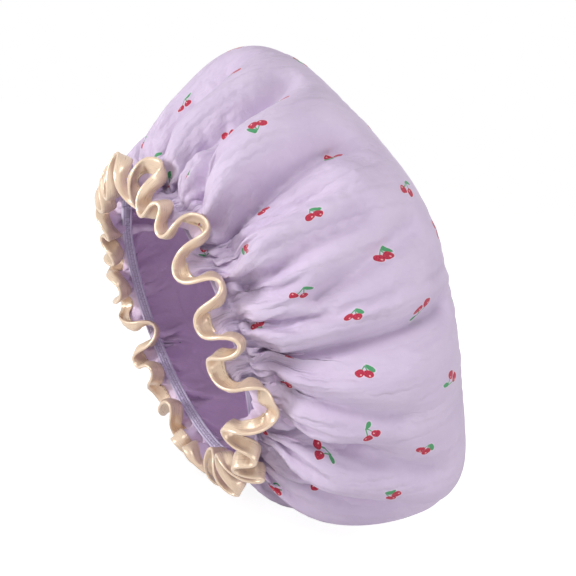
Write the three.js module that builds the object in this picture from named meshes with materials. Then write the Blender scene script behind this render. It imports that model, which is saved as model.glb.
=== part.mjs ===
// A shower cap: a round of printed cotton over a round of waterproof film, gathered together
// on a sewn elastic, with the ruffled rim bound in folded satin tape.
// The cap lies on its side on Z = 0, its crown towards +X and up, its mouth towards -X.
// Millimetres. Each piece is first placed in the cap's own frame, whose axis runs from the
// middle of the elastic to the crown and whose angle 0 is the side that meets the floor.

import * as THREE from "three";

// Dome, on the cotton's outer face
const CAP_RADIUS = 130;
const CROWN_HEIGHT = 125;
const WIDEST_HEIGHT = 66;
const CROWN_SQUARENESS_RATIO = 2.3;
const UNDERTURN_SQUARENESS_RATIO = 1.7;
const SLUMP = 7;
const BILLOW_RATIO = 0.014;

// Cloth layers and the clearances between sewn pieces
const COTTON_THICKNESS = 0.6;
const FILM_THICKNESS = 0.4;
const LAYER_GAP = 0.35;
const SEWN_GAP = 0.3;

// Elastic, a ribbed tape sewn inside and lapped at its join
const ELASTIC_RADIUS = 80;
const ELASTIC_WIDTH = 6;
const ELASTIC_THICKNESS = 1;
const ELASTIC_RIBS = 4;
const RIB_RELIEF = 0.25;
const LAP_LENGTH = 14;
const LAP_RAMP = 10;
const LAP_ANGLE = 2.2;

// Gathers: pleats of the dome above the elastic, and waves of the ruffle below it
const GATHERS = 18;
const FOLD_DEPTH = 6.5;
const SEAT_RIPPLE = 0.7;
const SEAT_MARGIN = 0.5;
const RUFFLE_WIDTH = 15.5;
const RUFFLE_FLARE_ANGLE = THREE.MathUtils.degToRad(16);
const RUFFLE_LEAN_ANGLE = THREE.MathUtils.degToRad(16);
const RUFFLE_SWING_ANGLE = THREE.MathUtils.degToRad(50);
const RUFFLE_OVERHANG = 3.6;

// Binding, a tape folded over both raw edges
const TAPE_WIDTH = 6.5;
const TAPE_THICKNESS = 0.5;
const TAPE_FOLD_SLACK = 0.9;

// Sewing threads
const THREAD_RADIUS = 0.2;
const THREAD_SIDES = 3;
const BINDING_SEAM_INSET = 1.2;
const ZIGZAG_WIDTH = 4;
const ZIGZAGS = 36;
const TACK_LENGTH = 8;
const TACK_LEGS = 6;

// Lying on the floor: how far the soft bulge gives, and how far the rim is pressed flat
const BULGE_SETTLE = 9;
const RIM_SETTLE = 0.5;

const LAYERS = COTTON_THICKNESS + LAYER_GAP + FILM_THICKNESS;
const SEAT_RADIUS = ELASTIC_RADIUS + SEWN_GAP + LAYERS + SEAT_RIPPLE;
const SEAT_HALF = ELASTIC_WIDTH / 2 + SEAT_MARGIN;
const TAPE_STANDOFF = SEWN_GAP + TAPE_THICKNESS;
const TURN = 2 * Math.PI;

// The furthest that a point is carried off a sharp fold, for each unit that its facets are
const STEP_RATIO = 1.8;

// Stages of the dome's rings between the crown, the widest ring at 1 and the elastic at 2
const CROWN_STAGE = 0.38;
const SHOULDER_STAGE = 0.72;
const UNDERTURN_STAGE = 1.28;
const FOLD_STAGE = 1.62;

const smooth = THREE.MathUtils.smoothstep;

// Materials
function finish(color, roughness) {
  return new THREE.MeshStandardMaterial({ color, roughness, metalness: 0, side: THREE.DoubleSide });
}
const COTTON = finish(0xd3c4dc, 0.85);
const FILM = finish(0xb49cc0, 0.45);
const ELASTIC = finish(0xcbc0e0, 0.75);
const SATIN = finish(0xe0c8ae, 0.35);
const THREAD = finish(0xd8c0d8, 0.7);

// The angle round the cap of a pleat's phase, uneven as hand-fed gathers are
function pleatAngle(turn) {
  return turn + 0.035 * Math.sin(3 * turn + 0.8) + 0.022 * Math.sin(5 * turn + 2.1);
}

// One pleat, from -1 in its narrow valley to 1 on its round ridge
function pleat(turn) {
  return 2 * Math.abs(Math.sin((GATHERS * turn) / 2 + Math.PI / 4)) - 1;
}

// The dome's profile: stage 0 to 1 runs from the crown to the widest ring, 1 to 2 on to the elastic
function profile(stage) {
  if (stage <= 1) {
    const crownAngle = (stage * Math.PI) / 2;
    const power = 2 / CROWN_SQUARENESS_RATIO;
    return {
      radius: CAP_RADIUS * Math.sin(crownAngle) ** power,
      height: WIDEST_HEIGHT + (CROWN_HEIGHT - WIDEST_HEIGHT) * Math.max(0, Math.cos(crownAngle)) ** power,
    };
  }
  const underAngle = ((stage - 1) * Math.PI) / 2;
  const power = 2 / UNDERTURN_SQUARENESS_RATIO;
  return {
    radius: SEAT_RADIUS + (CAP_RADIUS - SEAT_RADIUS) * Math.max(0, Math.cos(underAngle)) ** power,
    height: WIDEST_HEIGHT - (WIDEST_HEIGHT - SEAT_HALF) * Math.sin(underAngle) ** power,
  };
}

// A point of the cap's own frame from an angle, a radius and a height
function around(angle, radius, height) {
  return new THREE.Vector3(radius * Math.cos(angle), radius * Math.sin(angle), height);
}

// The dome's cloth, pleated towards the elastic and sagging towards the floor side
function domePoint(turn, stage) {
  const { radius, height } = profile(stage);
  const angle = pleatAngle(turn);
  const billow = 1 + BILLOW_RATIO * (Math.sin(3 * angle + 0.6) + Math.sin(5 * angle + 2.4));
  const loose = smooth(stage, 0, 0.9) * (1 - smooth(stage, 1.3, 2));
  const depth = FOLD_DEPTH * smooth(stage, 0.55, 1.55);
  const pressed = smooth(stage, 1.6, 2);
  const fold = pleat(turn) * (depth * (1 - pressed) + SEAT_RIPPLE * pressed);
  const point = around(angle, radius * (1 + (billow - 1) * loose) + fold, height);
  point.x += SLUMP * (1 - smooth(stage, 1, 2));
  return point;
}

// The lower edge of the band of cloth that the elastic is sewn to
function seatFoot(turn) {
  return around(pleatAngle(turn), SEAT_RADIUS + SEAT_RIPPLE * pleat(turn), -SEAT_HALF);
}

// The ruffle, a given way below the seat: each wave swings out and in about the elastic's edge
function rufflePoint(turn, reach) {
  const phase = GATHERS * turn;
  const lean = RUFFLE_FLARE_ANGLE + RUFFLE_LEAN_ANGLE * Math.sin(5 * turn + 1.1);
  const swing = RUFFLE_SWING_ANGLE * (1 + 0.14 * Math.sin(4 * turn + 2.7));
  const slope = lean + swing * Math.sin(phase);
  const share = reach / RUFFLE_WIDTH;
  const foot = seatFoot(turn);
  const radius = Math.hypot(foot.x, foot.y) + reach * Math.sin(slope);
  const overhang = (RUFFLE_OVERHANG * share * Math.sin(2 * phase)) / SEAT_RADIUS;
  return around(pleatAngle(turn) - overhang, radius, foot.z - reach * Math.cos(slope));
}

// The rings of the cloth from the crown's middle to the rim, with more points where it is pleated
const RINGS = [
  { count: GATHERS, at: (turn) => domePoint(turn, CROWN_STAGE) },
  { count: 2 * GATHERS, at: (turn) => domePoint(turn, SHOULDER_STAGE) },
  { count: 2 * GATHERS, at: (turn) => domePoint(turn, 1) },
  { count: 4 * GATHERS, at: (turn) => domePoint(turn, UNDERTURN_STAGE) },
  { count: 4 * GATHERS, at: (turn) => domePoint(turn, FOLD_STAGE) },
  { count: 4 * GATHERS, at: (turn) => domePoint(turn, 2) },
  { count: 4 * GATHERS, at: seatFoot },
  { count: 6 * GATHERS, at: (turn) => rufflePoint(turn, RUFFLE_WIDTH - TAPE_WIDTH) },
  { count: 6 * GATHERS, at: (turn) => rufflePoint(turn, RUFFLE_WIDTH) },
];
const [SEAT_TOP_RING, SEAT_FOOT_RING, TAPE_LIP_RING, RIM_RING] = [5, 6, 7, 8];
const QUARTER_PHASE = TURN / GATHERS / 4;

// Points of one ring, the first on a pleat's ridge
function ringPoints({ count, at }) {
  return Array.from({ length: count }, (_, i) => at((i * TURN) / count + QUARTER_PHASE));
}
const CLOTH_RINGS = RINGS.map(ringPoints);
const CROWN_POINT = domePoint(0, 0);

// How low a set of points lies when the cap's axis is raised from the floor by an angle
function lowest(points, tilt) {
  return Math.min(...points.map((p) => p.z * Math.sin(tilt) - p.x * Math.cos(tilt)));
}

// The angle at which the settled bulge and the settled rim touch the floor together
function restingTilt() {
  const bulge = CLOTH_RINGS.slice(0, SEAT_TOP_RING).flat();
  const rim = CLOTH_RINGS[RIM_RING];
  let [low, high] = [0, Math.PI / 3];
  for (let step = 0; step < 40; step += 1) {
    const tilt = (low + high) / 2;
    const bulgeFloor = lowest(bulge, tilt) + BULGE_SETTLE;
    const rimFloor = lowest(rim, tilt) - TAPE_STANDOFF + RIM_SETTLE;
    if (bulgeFloor < rimFloor) low = tilt;
    else high = tilt;
  }
  return { tilt: low, lift: -lowest(bulge, low) - BULGE_SETTLE };
}
const { tilt: TILT, lift: LIFT } = restingTilt();

// Lays a point of the cap's own frame on the floor
function laid(point) {
  return new THREE.Vector3(
    point.x * Math.sin(TILT) + point.z * Math.cos(TILT),
    point.y,
    point.z * Math.sin(TILT) - point.x * Math.cos(TILT) + LIFT,
  );
}

// Turns a direction of the cap's own frame with the laid cap
function laidDirection(direction) {
  return laid(direction).sub(laid(new THREE.Vector3()));
}

// Keeps a point at or above a height
function above(point, height) {
  point.z = Math.max(point.z, height);
  return point;
}

// Triangles between two closed rings whose counts may differ, by always taking the shorter step
function stitch(startA, countA, startB, countB) {
  const triangles = [];
  let [a, b] = [0, 0];
  while (a < countA || b < countB) {
    const stepA = b >= countB || (a < countA && (a + 1) * countB <= (b + 1) * countA);
    const [nowA, nowB] = [startA + (a % countA), startB + (b % countB)];
    if (stepA) {
      a += 1;
      triangles.push(nowA, nowB, startA + (a % countA));
    } else {
      b += 1;
      triangles.push(nowA, nowB, startB + (b % countB));
    }
  }
  return triangles;
}

// A mesh's geometry from points and triangles
function geometryOf(points, triangles) {
  const geometry = new THREE.BufferGeometry().setFromPoints(points);
  geometry.setIndex(triangles);
  geometry.computeVertexNormals();
  return geometry;
}

// Triangles with their faces turned round
function reversed(triangles) {
  const turned = [];
  for (let i = 0; i < triangles.length; i += 3) {
    turned.push(triangles[i], triangles[i + 2], triangles[i + 1]);
  }
  return turned;
}

// The outward step at each point that carries every facet round it outwards by about 1
function outwardSteps(points, triangles, normals) {
  const leastRise = points.map(() => 1);
  for (let i = 0; i < triangles.length; i += 3) {
    const corners = triangles.slice(i, i + 3);
    const facet = new THREE.Triangle(...corners.map((corner) => points[corner]));
    const facetNormal = facet.getNormal(new THREE.Vector3());
    corners.forEach((corner) => {
      leastRise[corner] = Math.min(leastRise[corner], normals[corner].dot(facetNormal));
    });
  }
  return normals.map((normal, i) => {
    return normal.clone().multiplyScalar(Math.min(STEP_RATIO, 1 / leastRise[i]));
  });
}

// The cotton's outer face as laid: points, triangles, where each ring starts, normals and outward steps
function layCloth() {
  const points = [laid(CROWN_POINT)];
  const starts = [];
  CLOTH_RINGS.forEach((ring, index) => {
    starts.push(points.length);
    const floor = index >= TAPE_LIP_RING ? TAPE_STANDOFF : 0;
    ring.forEach((point) => points.push(above(laid(point), floor)));
  });
  const triangles = [];
  for (let i = 0; i < GATHERS; i += 1) {
    triangles.push(0, starts[0] + i, starts[0] + ((i + 1) % GATHERS));
  }
  for (let i = 1; i < RINGS.length; i += 1) {
    triangles.push(...stitch(starts[i - 1], RINGS[i - 1].count, starts[i], RINGS[i].count));
  }
  const attribute = geometryOf(points, triangles).getAttribute("normal");
  const normals = points.map((_, i) => new THREE.Vector3().fromBufferAttribute(attribute, i));
  return { points, triangles, starts, normals, steps: outwardSteps(points, triangles, normals) };
}
const CLOTH = layCloth();

// The cloth's points moved inwards by a depth, and kept that far off the floor
function skin(depth) {
  return CLOTH.points.map((point, i) => {
    return above(point.clone().addScaledVector(CLOTH.normals[i], -depth), depth);
  });
}

// One layer of cloth between two depths, closed round its raw edge
function layer(depth, thickness) {
  const outer = skin(depth);
  const inner = skin(depth + thickness);
  const rim = CLOTH.starts[RIM_RING];
  const count = RINGS[RIM_RING].count;
  const innerTriangles = reversed(CLOTH.triangles).map((index) => index + outer.length);
  const edge = stitch(rim, count, rim + outer.length, count);
  return geometryOf([...outer, ...inner], [...CLOTH.triangles, ...innerTriangles, ...edge]);
}

// A closed loop of sections, each a list of as many points, running anticlockwise seen along the loop.
// The listed sides have their facets split along the other diagonal.
function loopOf(sections, otherDiagonal = []) {
  const size = sections[0].length;
  const triangles = [];
  sections.forEach((_, i) => {
    const here = i * size;
    const next = ((i + 1) % sections.length) * size;
    for (let k = 0; k < size; k += 1) {
      const turn = (k + 1) % size;
      const [a, b, c, d] = [here + k, next + k, next + turn, here + turn];
      if (otherDiagonal.includes(k)) triangles.push(a, b, d, d, b, c);
      else triangles.push(a, b, c, a, c, d);
    }
  });
  return geometryOf(sections.flat(), triangles);
}

// An open run of sections, closed by its end faces
function runOf(sections, endTriangles) {
  const size = sections[0].length;
  const last = (sections.length - 1) * size;
  const triangles = [];
  for (let here = 0; here < last; here += size) {
    for (let k = 0; k < size; k += 1) {
      const turn = (k + 1) % size;
      const [a, b, c, d] = [here + k, here + size + k, here + size + turn, here + turn];
      triangles.push(a, b, c, a, c, d);
    }
  }
  const ends = endTriangles.flat();
  triangles.push(...ends, ...reversed(ends).map((index) => index + last));
  return geometryOf(sections.flat(), triangles);
}

// Sections of a thread along a line of points, each with a direction that faces off the cloth
function threadSections(points, facings, closed) {
  return points.map((point, i) => {
    const before = points[closed ? (i + points.length - 1) % points.length : Math.max(i - 1, 0)];
    const after = points[closed ? (i + 1) % points.length : Math.min(i + 1, points.length - 1)];
    const along = after.clone().sub(before).normalize();
    const across = new THREE.Vector3().crossVectors(along, facings[i]).normalize();
    const off = new THREE.Vector3().crossVectors(across, along);
    return Array.from({ length: THREAD_SIDES }, (_, k) => {
      const angle = (k * TURN) / THREAD_SIDES;
      return point
        .clone()
        .addScaledVector(off, THREAD_RADIUS * Math.cos(angle))
        .addScaledVector(across, -THREAD_RADIUS * Math.sin(angle));
    });
  });
}

// The pieces of cloth
function printedShell() {
  return new THREE.Mesh(layer(0, COTTON_THICKNESS), COTTON);
}

function waterproofLining() {
  return new THREE.Mesh(layer(COTTON_THICKNESS + LAYER_GAP, FILM_THICKNESS), FILM);
}

// The binding at one point of the rim: the ways along the ruffle and off it at the tape's lip and fold
function bindingStation(i) {
  const lip = CLOTH.points[CLOTH.starts[TAPE_LIP_RING] + i];
  const rim = CLOTH.points[CLOTH.starts[RIM_RING] + i];
  return {
    lip,
    rim,
    down: rim.clone().sub(lip).normalize(),
    lipOut: CLOTH.steps[CLOTH.starts[TAPE_LIP_RING] + i],
    rimOut: CLOTH.steps[CLOTH.starts[RIM_RING] + i],
  };
}
const BINDING_STATIONS = Array.from({ length: RINGS[RIM_RING].count }, (_, i) => bindingStation(i));

// The folded tape: two faces over the layers, joined by the fold beyond the raw edges
function satinBinding() {
  const face = TAPE_STANDOFF;
  const back = -LAYERS - TAPE_STANDOFF;
  const foldNose = TAPE_FOLD_SLACK + 2 * TAPE_THICKNESS;
  const sections = BINDING_STATIONS.map(({ lip, rim, down, lipOut, rimOut }) => {
    const atLip = (out) => lip.clone().addScaledVector(lipOut, out);
    const atRim = (out, beyond) => rim.clone().addScaledVector(rimOut, out).addScaledVector(down, beyond);
    return [
      atLip(face - TAPE_THICKNESS),
      atRim(face - TAPE_THICKNESS, TAPE_FOLD_SLACK),
      atRim(back + TAPE_THICKNESS, TAPE_FOLD_SLACK),
      atLip(back + TAPE_THICKNESS),
      atLip(back),
      atRim(back, TAPE_FOLD_SLACK),
      atRim(-LAYERS / 2, foldNose),
      atRim(face, TAPE_FOLD_SLACK),
      atLip(face),
    ].map((point) => above(point, 0));
  });
  const innerFaceSide = 0;
  const outerBackSide = 4;
  return new THREE.Mesh(loopOf(sections, [innerFaceSide, outerBackSide]), SATIN);
}

// A row of thread along the binding's face or its back, near the lip, with a point on each facet's edge
function bindingThread(out, side) {
  const share = BINDING_SEAM_INSET / TAPE_WIDTH;
  const facings = [];
  const points = [];
  BINDING_STATIONS.forEach((here, i) => {
    const next = BINDING_STATIONS[(i + 1) % BINDING_STATIONS.length];
    [here, next].forEach(({ lip, lipOut }) => {
      const facing = lipOut.clone().lerp(here.rimOut, share).multiplyScalar(side);
      points.push(lip.clone().lerp(here.rim, share).addScaledVector(facing, out));
      facings.push(facing);
    });
  });
  return new THREE.Mesh(loopOf(threadSections(points, facings, true)), THREAD);
}

// How far the elastic's upper end is lifted off its lower end, 0 to 1, at an angle from the lap's start
function lapRise(angle) {
  const ramp = LAP_RAMP / ELASTIC_RADIUS;
  const lap = LAP_LENGTH / ELASTIC_RADIUS;
  const past = THREE.MathUtils.euclideanModulo(angle + TURN / 2, TURN) - TURN / 2;
  return Math.min(smooth(past, -ramp, 0), 1 - smooth(past, lap, lap + ramp));
}

// Where the elastic's inner face lies at an angle from the lap's start
function elasticInside(angle) {
  return ELASTIC_RADIUS - ELASTIC_THICKNESS - lapRise(angle) * (ELASTIC_THICKNESS + SEWN_GAP);
}

// The elastic's section: flat towards the lining, ribbed towards the head
function elasticOutline() {
  const steps = 2 * ELASTIC_RIBS;
  const outline = [new THREE.Vector2(-ELASTIC_WIDTH / 2, 0), new THREE.Vector2(ELASTIC_WIDTH / 2, 0)];
  for (let i = 0; i <= steps; i += 1) {
    const relief = i % 2 === 0 ? RIB_RELIEF : 0;
    outline.push(new THREE.Vector2((0.5 - i / steps) * ELASTIC_WIDTH, ELASTIC_THICKNESS - relief));
  }
  return outline;
}

function elasticBand() {
  const outline = elasticOutline();
  const lap = LAP_LENGTH / ELASTIC_RADIUS;
  const count = 4 * GATHERS;
  const sections = Array.from({ length: count + 1 }, (_, i) => {
    const angle = (i / count) * (TURN + lap);
    const rise = angle < TURN / 2 ? 0 : smooth(angle, TURN - LAP_RAMP / ELASTIC_RADIUS, TURN);
    const face = ELASTIC_RADIUS - rise * (ELASTIC_THICKNESS + SEWN_GAP);
    return outline.map(({ x, y }) => laid(around(LAP_ANGLE + angle, face - y, x)));
  });
  const ends = THREE.ShapeUtils.triangulateShape(outline, []);
  return new THREE.Mesh(runOf(sections, ends), ELASTIC);
}

// The zigzag that sews the elastic down, on the elastic's inner face
function elasticZigzagThread() {
  const count = 4 * ZIGZAGS;
  const facings = [];
  const points = [];
  for (let i = 0; i < count; i += 1) {
    const angle = (i * TURN) / count;
    const radius = elasticInside(angle) - SEWN_GAP - THREAD_RADIUS;
    const height = (ZIGZAG_WIDTH / 2) * Math.sin(ZIGZAGS * angle);
    points.push(laid(around(LAP_ANGLE + angle, radius, height)));
    facings.push(laidDirection(around(LAP_ANGLE + angle, -1, 0)));
  }
  return new THREE.Mesh(loopOf(threadSections(points, facings, true)), THREAD);
}

// The same seam's thread on the outside, along the middle of the gathered band
function gatherSeamThread() {
  const facings = [];
  const points = [];
  for (let i = 0; i < RINGS[SEAT_TOP_RING].count; i += 1) {
    const top = CLOTH.starts[SEAT_TOP_RING] + i;
    const foot = CLOTH.starts[SEAT_FOOT_RING] + i;
    const facing = CLOTH.steps[top].clone().lerp(CLOTH.steps[foot], 0.5);
    const middle = CLOTH.points[top].clone().lerp(CLOTH.points[foot], 0.5);
    points.push(middle.addScaledVector(facing, SEWN_GAP + THREAD_RADIUS));
    facings.push(facing);
  }
  return new THREE.Mesh(loopOf(threadSections(points, facings, true)), THREAD);
}

// The tack that holds the elastic's lapped ends, stitched to and fro across them
function elasticJoinTack() {
  const inside = ELASTIC_RADIUS - 2 * ELASTIC_THICKNESS - SEWN_GAP;
  const radius = inside - 2 * (SEWN_GAP + THREAD_RADIUS) - THREAD_RADIUS;
  const facings = [];
  const points = [];
  for (let leg = 0; leg <= TACK_LEGS; leg += 1) {
    const along = (LAP_LENGTH - TACK_LENGTH) / 2 + (TACK_LENGTH * leg) / TACK_LEGS;
    const angle = LAP_ANGLE + along / ELASTIC_RADIUS;
    const height = (ZIGZAG_WIDTH / 2) * (leg % 2 === 0 ? 1 : -1);
    points.push(laid(around(angle, radius, height)));
    facings.push(laidDirection(around(angle, -1, 0)));
  }
  const sections = threadSections(points, facings, false);
  return new THREE.Mesh(runOf(sections, [[0, 1, 2]]), THREAD);
}

// The pieces by name
const PIECES = {
  printed_shell: printedShell(),
  waterproof_lining: waterproofLining(),
  elastic_band: elasticBand(),
  satin_binding: satinBinding(),
  elastic_zigzag_thread: elasticZigzagThread(),
  gather_seam_thread: gatherSeamThread(),
  binding_face_thread: bindingThread(TAPE_STANDOFF + SEWN_GAP + THREAD_RADIUS, 1),
  binding_back_thread: bindingThread(LAYERS + TAPE_STANDOFF + SEWN_GAP + THREAD_RADIUS, -1),
  elastic_join_tack: elasticJoinTack(),
};

// The cap, its origin under the middle of its box
const cap = new THREE.Group();
Object.entries(PIECES).forEach(([name, piece]) => {
  piece.name = name;
  cap.add(piece);
});
const box = new THREE.Box3().setFromObject(cap);
const middle = box.getCenter(new THREE.Vector3());
cap.children.forEach((piece) => piece.position.set(-middle.x, -middle.y, -box.min.z));

export default cap;
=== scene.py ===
"""A ruffled shower cap: printed cotton over a waterproof film, gathered on an elastic and bound in satin.

The cloth is shaped in the cap's own frame, in millimetres. Its axis runs from the middle of the elastic
to the crown, and angle 0 is the side that meets the floor. Each piece is laid in the row frame, in metres.
"""

import logging
import math
from dataclasses import dataclass, field
from enum import Enum

import bpy
import numpy as np
from mathutils import Matrix, Vector


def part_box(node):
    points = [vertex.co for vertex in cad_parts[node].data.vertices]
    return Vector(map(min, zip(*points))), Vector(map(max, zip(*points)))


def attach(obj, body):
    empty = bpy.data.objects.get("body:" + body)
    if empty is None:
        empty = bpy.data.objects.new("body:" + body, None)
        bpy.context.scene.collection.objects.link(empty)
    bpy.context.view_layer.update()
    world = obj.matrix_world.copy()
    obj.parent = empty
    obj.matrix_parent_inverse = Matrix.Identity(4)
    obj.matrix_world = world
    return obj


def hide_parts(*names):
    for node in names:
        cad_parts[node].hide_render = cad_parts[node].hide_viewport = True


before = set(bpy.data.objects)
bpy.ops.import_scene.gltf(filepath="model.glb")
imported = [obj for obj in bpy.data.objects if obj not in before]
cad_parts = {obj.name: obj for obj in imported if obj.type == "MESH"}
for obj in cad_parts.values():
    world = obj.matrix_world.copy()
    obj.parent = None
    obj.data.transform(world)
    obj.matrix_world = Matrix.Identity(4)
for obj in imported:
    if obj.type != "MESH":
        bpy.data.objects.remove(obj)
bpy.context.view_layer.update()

LOG = logging.getLogger("shower_cap")
MM = 0.001
TURN = 2.0 * math.pi
TINY = 1e-9
BODY = "root"
SEAT_STAGE = 2.0
PROFILE_STOPS = 2001

Array = np.ndarray
Pair = tuple[float, float]
Triple = tuple[float, float, float]
Colour = Triple
Piece = bpy.types.Object
Material = bpy.types.Material
Socket = bpy.types.NodeSocket
Value = Socket | float


class Slot(Enum):
    """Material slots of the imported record."""

    COTTON = "printed_cotton"
    FILM = "lining_film"
    ELASTIC = "ribbed_elastic"
    SATIN = "satin_tape"
    THREAD = "sewing_thread"


class ThreadTone(Enum):
    """The two thread colours, each matched to the cloth that it sews."""

    LILAC = (0.64, 0.55, 0.74)
    CHAMPAGNE = (0.78, 0.62, 0.47)


def smooth_between(value: Array, low: Array | float, high: float) -> Array:
    """The share of the way from low to high, from 0 to 1, with a smooth start and end."""
    share = np.clip((value - low) / (high - low), 0.0, 1.0)
    return share * share * (3.0 - 2.0 * share)


def unit(vectors: Array) -> Array:
    """The vectors at length 1."""
    return vectors / (np.linalg.norm(vectors, axis=-1, keepdims=True) + TINY)


def polar(radius: Array | float, angle: Array, height: Array) -> Array:
    """Points at a radius, an angle and a height about the cap's axis."""
    return np.stack([radius * np.cos(angle), radius * np.sin(angle), height], -1)


def loop_steps(points: Array) -> Array:
    """The distance from each point of a closed loop to the next."""
    return np.linalg.norm(np.roll(points, -1, 0) - points, axis=1)


def eased_loop(points: Array, passes: int) -> Array:
    """A closed loop of points, each drawn towards its two neighbours in every pass."""
    for _ in range(passes):
        points = 0.5 * points + 0.25 * (np.roll(points, 1, 0) + np.roll(points, -1, 0))
    return points


def placed(name: str, data: bpy.types.ID) -> Piece:
    """A new object of the scene, for a mesh, a lamp or a camera."""
    made = bpy.data.objects.new(name, data)
    bpy.context.scene.collection.objects.link(made)
    return made


class NodeGraph:
    """A material's node graph, added to in reading order."""

    def __init__(self, name: str) -> None:
        """Starts a material with one Principled shader.

        Args:
            name: The material's name.
        """
        self.material = bpy.data.materials.new(name)
        self.material.use_nodes = True
        self.tree = self.material.node_tree
        self.shader = self.tree.nodes["Principled BSDF"]

    def node(self, kind: str, **options: object) -> bpy.types.Node:
        """Adds a node.

        Args:
            kind: The node's type name.
            **options: Properties to set on it.

        Returns:
            The new node.
        """
        made = self.tree.nodes.new(kind)
        for name, value in options.items():
            setattr(made, name, value)
        return made

    def feed(self, socket: Socket, value: object) -> None:
        """Links a socket to another, or sets its plain value.

        Args:
            socket: The input to fill.
            value: An output socket, a number, a vector or a colour.
        """
        if isinstance(value, bpy.types.NodeSocket):
            self.tree.links.new(value, socket)
        elif isinstance(value, (int, float)):
            socket.default_value = value
        else:
            size = len(socket.default_value)
            socket.default_value = (*value, 1.0)[:size]

    def maths(self, operation: str, *values: Value) -> Socket:
        """One Math node's result.

        Args:
            operation: The node's operation.
            *values: Its inputs in order.

        Returns:
            The result's socket.
        """
        made = self.node("ShaderNodeMath", operation=operation)
        for socket, value in zip(made.inputs, values):
            self.feed(socket, value)
        return made.outputs[0]

    def vector(self, operation: str, *values: object) -> Socket:
        """One Vector Math node's result.

        Args:
            operation: The node's operation.
            *values: Its inputs in order, with a scale last.

        Returns:
            The result's socket, a number for LENGTH and DOT_PRODUCT.
        """
        made = self.node("ShaderNodeVectorMath", operation=operation)
        sockets = [s for s in made.inputs if s.enabled]
        for socket, value in zip(sockets, values):
            self.feed(socket, value)
        return made.outputs["Value" if operation in ("LENGTH", "DOT_PRODUCT") else "Vector"]

    def place(self, name: str) -> Socket:
        """The vector of a named mesh attribute."""
        return self.node("ShaderNodeAttribute", attribute_name=name).outputs["Vector"]

    def parts(self, vector: Socket) -> tuple[Socket, Socket, Socket]:
        """The three parts of a vector."""
        made = self.node("ShaderNodeSeparateXYZ")
        self.feed(made.inputs[0], vector)
        return made.outputs[0], made.outputs[1], made.outputs[2]

    def joined(self, x: Value, y: Value, z: Value = 0.0) -> Socket:
        """A vector from its three parts."""
        made = self.node("ShaderNodeCombineXYZ")
        for socket, value in zip(made.inputs, (x, y, z)):
            self.feed(socket, value)
        return made.outputs[0]

    def noise(self, place: Socket, scale: float, detail: float = 3.0, rough: float = 0.5) -> Socket:
        """Soft noise over a place.

        Args:
            place: Where each point is.
            scale: Bumps for each unit of the place.
            detail: How many finer layers are added.
            rough: How strong the finer layers are.

        Returns:
            The noise's value, about 0.5 on average.
        """
        made = self.node("ShaderNodeTexNoise")
        self.feed(made.inputs["Vector"], place)
        for name, value in (("Scale", scale), ("Detail", detail), ("Roughness", rough)):
            made.inputs[name].default_value = value
        return made.outputs[0]

    def eased(self, value: Socket, low: float, high: float, first: float, last: float) -> Socket:
        """A value mapped smoothly from one range to another.

        Args:
            value: The value to map.
            low: Where the mapping starts.
            high: Where it ends.
            first: The result at low.
            last: The result at high.

        Returns:
            The mapped value.
        """
        made = self.node("ShaderNodeMapRange", interpolation_type="SMOOTHSTEP")
        for socket, item in zip(made.inputs, (value, low, high, first, last)):
            self.feed(socket, item)
        return made.outputs[0]

    def mixed(self, share: Value, first: object, second: object) -> Socket:
        """A colour between two colours.

        Args:
            share: 0 for the first, 1 for the second.
            first: A colour or its socket.
            second: A colour or its socket.

        Returns:
            The mixed colour.
        """
        made = self.node("ShaderNodeMix", data_type="RGBA")
        self.feed(made.inputs[0], share)
        self.feed(made.inputs[6], first)
        self.feed(made.inputs[7], second)
        return made.outputs[2]

    def raised(self, height: Socket, depth_mm: float, under: Socket | None = None) -> Socket:
        """A bump's normal.

        Args:
            height: The height, from 0 to 1.
            depth_mm: How deep a height of 1 is.
            under: The normal of a bump below this one.

        Returns:
            The normal.
        """
        made = self.node("ShaderNodeBump")
        made.inputs["Distance"].default_value = depth_mm * MM
        self.feed(made.inputs["Height"], height)
        if under is not None:
            self.feed(made.inputs["Normal"], under)
        return made.outputs[0]

    def turned(self, vector: Socket, angle: Value) -> Socket:
        """A vector turned about the z axis by an angle."""
        made = self.node("ShaderNodeVectorRotate", rotation_type="Z_AXIS")
        self.feed(made.inputs["Vector"], vector)
        self.feed(made.inputs["Angle"], angle)
        return made.outputs[0]

    def distance(self, place: Socket, point: object) -> Socket:
        """How far a place lies from a point."""
        return self.vector("LENGTH", self.vector("SUBTRACT", place, point))

    def nearer(self, gaps: list[Socket], edge: float) -> Socket:
        """The lesser of two distances, measured from an edge that lies a way out."""
        return self.maths("SUBTRACT", self.maths("MINIMUM", *gaps), edge)

    def ripple(self, value: Socket, pitch: float) -> Socket:
        """A sine wave of one pitch along a value."""
        return self.maths("SINE", self.maths("MULTIPLY", value, TURN / pitch))

    def drawn_out(self, place: Socket, scales: Pair, detail: float = 2.0) -> Socket:
        """Noise with a scale of its own along and across the cloth."""
        return self.noise(self.vector("MULTIPLY", place, (*scales, 1.0)), 1.0, detail)

    def patchy(self, noise: Socket, low: float, high: float, first: Colour, second: Colour) -> Socket:
        """Two colours in soft patches, the second where the noise is high."""
        return self.mixed(self.eased(noise, low, high, 0.0, 1.0), first, second)

    def settle(self, colour: object, normal: Socket, **plain: object) -> Material:
        """Joins the colour and normal to the shader and sets its plain values.

        Args:
            colour: The base colour or its socket.
            normal: The bump's normal.
            **plain: Other shader inputs, with _ for a space in the name.

        Returns:
            The finished material.
        """
        self.feed(self.shader.inputs["Base Color"], colour)
        self.feed(self.shader.inputs["Normal"], normal)
        for name, value in plain.items():
            self.feed(self.shader.inputs[name.replace("_", " ")], value)
        return self.material


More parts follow.
